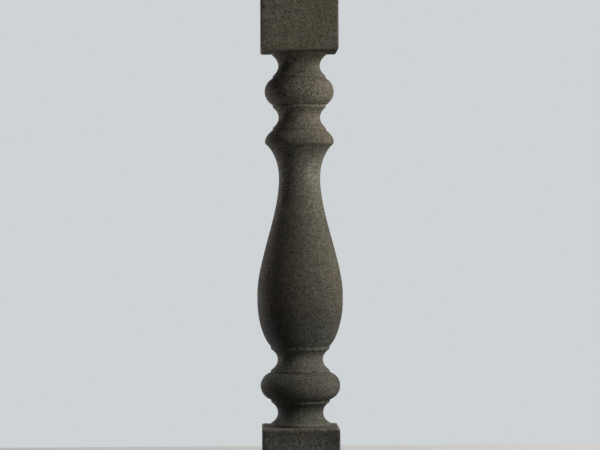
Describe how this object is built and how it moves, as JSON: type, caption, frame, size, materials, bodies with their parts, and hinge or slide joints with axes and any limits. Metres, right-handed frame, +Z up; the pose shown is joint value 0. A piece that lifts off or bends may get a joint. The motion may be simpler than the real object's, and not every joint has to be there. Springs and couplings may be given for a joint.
{
  "type": "concrete baluster",
  "caption": "Cast concrete baluster: a turned vase-shaped shaft with rings and hollows between square end blocks; stands upright and carries a handrail.",
  "frame": {"origin": "centre of the underside of the lower square block", "axes": "+Z up along the turned axis; X and Y square to the faces of the two blocks, with -Y the face seen in the picture"},
  "size_m": [0.1236, 0.1236, 0.7],
  "materials": {
    "concrete": "rough cast, fine sandy grain, dark grey-brown"
  },
  "bodies": {
    "root": {"baluster": "concrete"}
  },
  "joints": []
}
